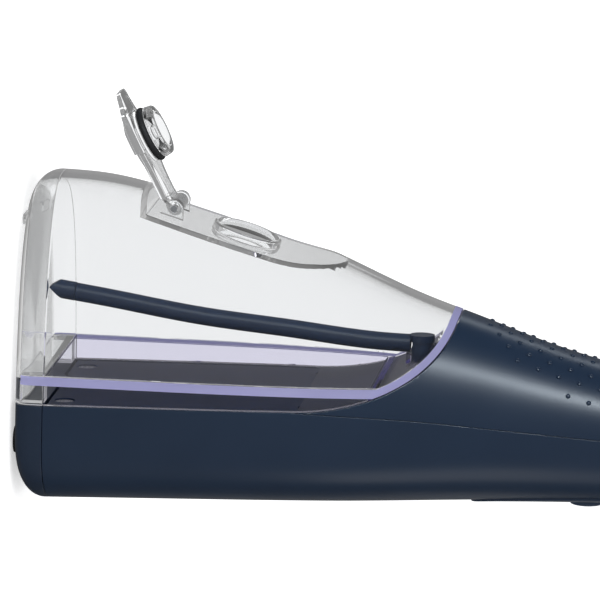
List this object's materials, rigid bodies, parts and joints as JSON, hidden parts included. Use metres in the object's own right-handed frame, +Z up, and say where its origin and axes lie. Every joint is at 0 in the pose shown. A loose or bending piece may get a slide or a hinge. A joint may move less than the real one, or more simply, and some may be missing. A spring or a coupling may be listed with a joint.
{
  "type": "cordless water flosser",
  "caption": "Cordless water flosser: tapered handheld body with a removable clear rear reservoir, a flip-open fill cap, button panel, rotating knob and a bent jet tip.",
  "frame": {"origin": "centre of the body's footprint on the counter, between the feet", "axes": "+Z up the handle to the jet tip, -Y the button face, +Y the reservoir, X the width"},
  "size_m": [0.0708, 0.1287, 0.295],
  "materials": {
    "navy_shell": "satin moulded",
    "navy_button": "satin moulded",
    "clear_tank": "polished clear",
    "violet_tank": "polished clear, violet tint",
    "black_rubber": "matt",
    "steel": "turned",
    "trim_ring": "satin",
    "inner_plastic": "moulded",
    "gear_plastic": "moulded",
    "brass_gear": "machined",
    "battery_wrap": "shrink sleeve",
    "pcb": "solder mask",
    "switch": "moulded",
    "tip_plastic": "polished",
    "tip_ring": "polished",
    "led_lens": "diffusing"
  },
  "bodies": {
    "handle": {"front_housing": "navy_shell", "rear_housing": "navy_shell", "grip_nubs": "navy_shell", "base_cap": "navy_shell", "base_feet": "black_rubber", "front_panel": "navy_button", "charge_port": "black_rubber", "charge_contacts": "steel", "led_lenses": "led_lens", "top_collar": "trim_ring", "chassis": "inner_plastic", "battery": "battery_wrap", "battery_holder": "inner_plastic", "main_pcb": "pcb", "tact_switches": "switch", "button_seal": "black_rubber", "motor": "steel", "gear_axle": "steel", "pump_cylinder": "inner_plastic", "inlet_valve": "black_rubber", "outlet_valve": "black_rubber", "inlet_hose": "inner_plastic", "outlet_tube": "inner_plastic", "tip_socket": "inner_plastic", "socket_o_ring": "black_rubber", "reservoir_socket": "switch", "socket_seal": "black_rubber", "housing_screws": "steel", "base_screws": "steel"},
    "reservoir": {"reservoir_shell": "clear_tank", "reservoir_end_cap": "clear_tank", "reservoir_base": "violet_tank", "suction_tube": "navy_shell", "tube_inlet": "navy_shell", "outlet_spigot": "navy_shell", "spigot_o_ring": "black_rubber", "cap_hinge_pin": "steel"},
    "fill_cap_body": {"fill_cap": "clear_tank", "cap_o_ring": "black_rubber"},
    "power_button_body": {"power_button": "navy_button"},
    "mode_button_body": {"mode_button": "navy_button"},
    "eject_button_body": {"eject_button": "navy_button"},
    "knob": {"tip_knob": "navy_shell"},
    "tip": {"jet_tip": "tip_plastic", "tip_ring": "tip_ring"},
    "motor_rotor": {"motor_pinion": "brass_gear"},
    "crank": {"crank_gear": "gear_plastic"},
    "piston_body": {"piston": "inner_plastic", "piston_seal": "black_rubber"}
  },
  "joints": [
    {"name": "reservoir_removal", "type": "slide", "parent": "handle", "child": "reservoir", "axis": [0, 1, 0], "range_m": [0, 0.09]},
    {"name": "fill_cap_hinge", "type": "hinge", "parent": "reservoir", "child": "fill_cap_body", "pos_m": [0, 0.0423, 0.0466], "axis": [1, 0, 0], "range_deg": [0, 134]},
    {"name": "power_button_press", "type": "slide", "parent": "handle", "child": "power_button_body", "axis": [0, 1, 0], "range_m": [0, 0.0008]},
    {"name": "mode_button_press", "type": "slide", "parent": "handle", "child": "mode_button_body", "axis": [0, 1, 0], "range_m": [0, 0.0008]},
    {"name": "eject_button_press", "type": "slide", "parent": "handle", "child": "eject_button_body", "axis": [0, 1, 0], "range_m": [0, 0.0012]},
    {"name": "tip_rotation", "type": "hinge", "parent": "handle", "child": "knob", "pos_m": [0, -0.0248, 0.231], "axis": [0, 0, 1], "continuous": true},
    {"name": "tip_removal", "type": "slide", "parent": "knob", "child": "tip", "axis": [0, 0, 1], "range_m": [0, 0.035]},
    {"name": "crank_spin", "type": "hinge", "parent": "handle", "child": "crank", "pos_m": [0.004, -0.032, 0.072], "axis": [1, 0, 0], "continuous": true},
    {"name": "motor_spin", "type": "hinge", "parent": "handle", "child": "motor_rotor", "pos_m": [0.004, -0.032, 0.058], "axis": [1, 0, 0], "continuous": true},
    {"name": "piston_stroke", "type": "slide", "parent": "handle", "child": "piston_body", "axis": [0, 0, 1], "range_m": [-0.002, 0.002]}
  ],
  "couplings": [
    {"joint": "motor_spin", "follows": "crank_spin", "ratio": -3}
  ]
}
